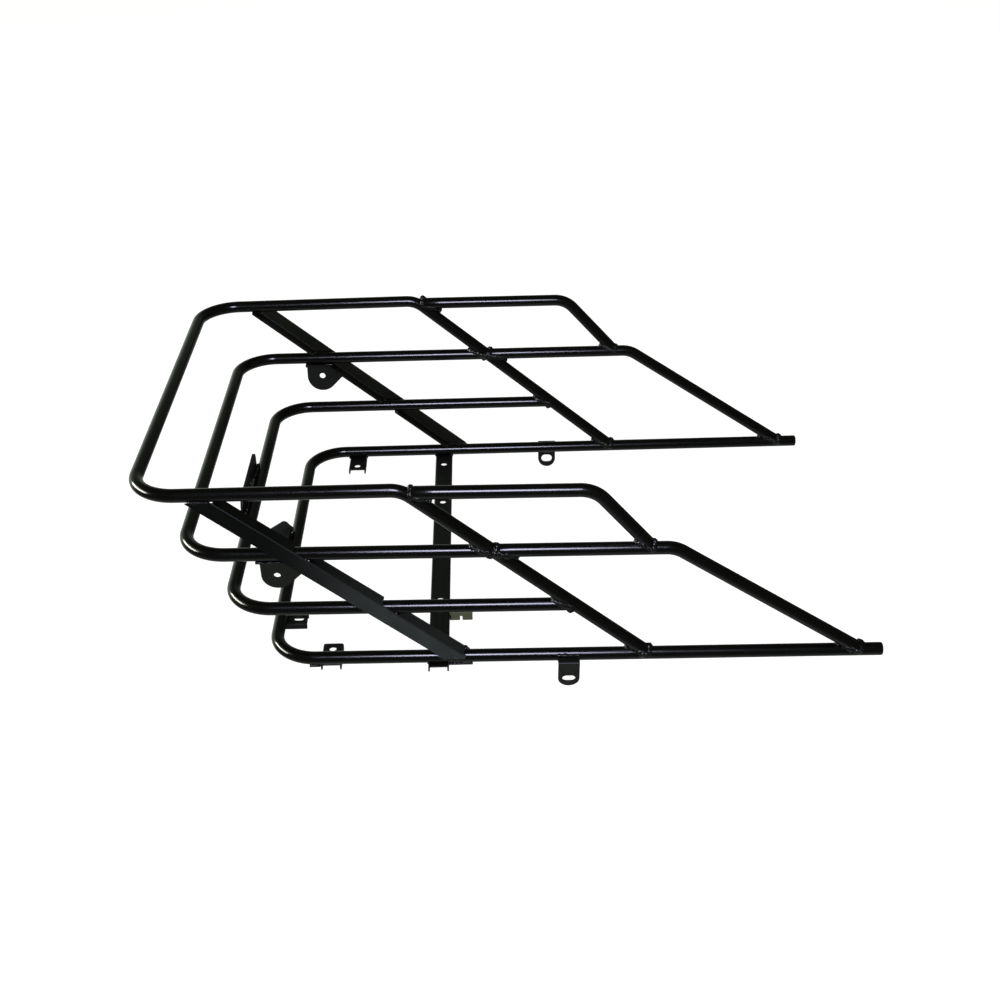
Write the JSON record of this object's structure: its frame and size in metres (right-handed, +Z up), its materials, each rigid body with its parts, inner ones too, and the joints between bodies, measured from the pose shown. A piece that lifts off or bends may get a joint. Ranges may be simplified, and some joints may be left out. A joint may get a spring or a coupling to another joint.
{
  "type": "tubular cargo rack",
  "caption": "Open-ended black tubular cargo rack: nested round-cornered hoops, bent side rails, angle-iron side braces and bolt-down feet.",
  "frame": {"origin": "middle of the bounding box, level with the lowest point of the strap lugs", "axes": "+X from the closed front to the open rear, +Y to the right-hand side seen from above with the front to the left, +Z up"},
  "size_m": [0.8842, 0.5823, 0.2837],
  "materials": {
    "black_paint": "gloss black paint on steel tube and sheet"
  },
  "bodies": {
    "root": {"top_hoop": "black_paint", "second_hoop": "black_paint", "third_hoop": "black_paint", "bottom_hoop": "black_paint", "upper_rail_left": "black_paint", "upper_rail_right": "black_paint", "rear_rail_left": "black_paint", "rear_rail_right": "black_paint", "side_brace_left": "black_paint", "side_brace_right": "black_paint", "cross_channel": "black_paint", "floor_tab_left": "black_paint", "floor_tab_right": "black_paint", "front_floor_tab": "black_paint", "side_ear_left": "black_paint", "side_ear_right": "black_paint", "strap_lug_left": "black_paint", "strap_lug_right": "black_paint", "front_bracket_upper": "black_paint", "front_bracket_lower": "black_paint", "rear_tab_inner": "black_paint", "rear_tab_outer": "black_paint", "front_tab_outer": "black_paint"}
  },
  "joints": []
}
